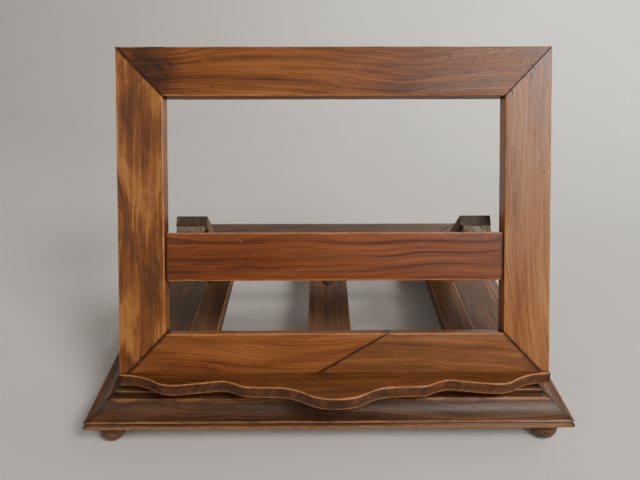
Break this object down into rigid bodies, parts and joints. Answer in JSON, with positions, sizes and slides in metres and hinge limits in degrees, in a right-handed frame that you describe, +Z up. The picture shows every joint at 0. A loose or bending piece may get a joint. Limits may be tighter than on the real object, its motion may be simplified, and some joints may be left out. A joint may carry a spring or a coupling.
{
  "type": "book display stand",
  "caption": "Tilting wooden book stand: a framed rest with a serpentine ledge, hinged to a moulded open base on ball feet and propped by a folding strut on notched racks.",
  "frame": {"origin": "on the surface it stands on, under the middle of the whole stand's box", "axes": "+Z up, +Y to the back, +X to the right of a reader facing the rest"},
  "size_m": [0.5, 0.4766, 0.3761],
  "materials": {
    "rest_walnut": "waxed, warm red-brown, worn arrises",
    "ledge_walnut": "waxed, darker, hand-sawn front edge",
    "base_walnut": "waxed, dark brown, worn mouldings",
    "inner_walnut": "dull, unpolished",
    "strut_wood": "dull, grey-brown",
    "hinge_steel": "old, dulled",
    "iron_fixings": "dark, slightly rusted"
  },
  "bodies": {
    "base": {"base_front_rail": "base_walnut", "base_left_rail": "base_walnut", "base_nails": "iron_fixings", "base_rear_rail": "base_walnut", "base_right_rail": "base_walnut", "centre_screw": "iron_fixings", "centre_stile": "inner_walnut", "front_hinge_base_screws": "iron_fixings", "front_hinge_left_base_leaf": "hinge_steel", "front_hinge_left_pin": "hinge_steel", "front_hinge_right_base_leaf": "hinge_steel", "front_hinge_right_pin": "hinge_steel", "front_left_foot": "base_walnut", "front_right_foot": "base_walnut", "left_rack": "inner_walnut", "rear_left_foot": "base_walnut", "rear_right_foot": "base_walnut", "right_rack": "inner_walnut"},
    "rest": {"bottom_rail_left": "rest_walnut", "bottom_rail_right": "rest_walnut", "front_hinge_left_rest_leaf": "hinge_steel", "front_hinge_rest_screws": "iron_fixings", "front_hinge_right_rest_leaf": "hinge_steel", "ledge": "ledge_walnut", "ledge_screws": "iron_fixings", "left_stile": "rest_walnut", "middle_rail": "rest_walnut", "mitre_fasteners": "iron_fixings", "right_stile": "rest_walnut", "strut_hinge_left_pin": "hinge_steel", "strut_hinge_left_rail_leaf": "hinge_steel", "strut_hinge_rail_screws": "iron_fixings", "strut_hinge_right_pin": "hinge_steel", "strut_hinge_right_rail_leaf": "hinge_steel", "top_rail": "rest_walnut"},
    "strut": {"left_leg": "strut_wood", "right_leg": "strut_wood", "strut_cross_rail": "strut_wood", "strut_hinge_left_leg_leaf": "hinge_steel", "strut_hinge_leg_screws": "iron_fixings", "strut_hinge_right_leg_leaf": "hinge_steel"}
  },
  "joints": [
    {"name": "rest_tilt", "type": "hinge", "parent": "base", "child": "rest", "pos_m": [0, -0.17015, 0.05883], "axis": [-1, 0, 0], "range_deg": [0, 58]},
    {"name": "strut_swing", "type": "hinge", "parent": "rest", "child": "strut", "pos_m": [0, -0.10326, 0.19893], "axis": [1, 0, 0], "range_deg": [0, 100.7]}
  ],
  "couplings": [
    {"joint": "strut_swing", "follows": "rest_tilt", "ratio": 1.7345}
  ]
}
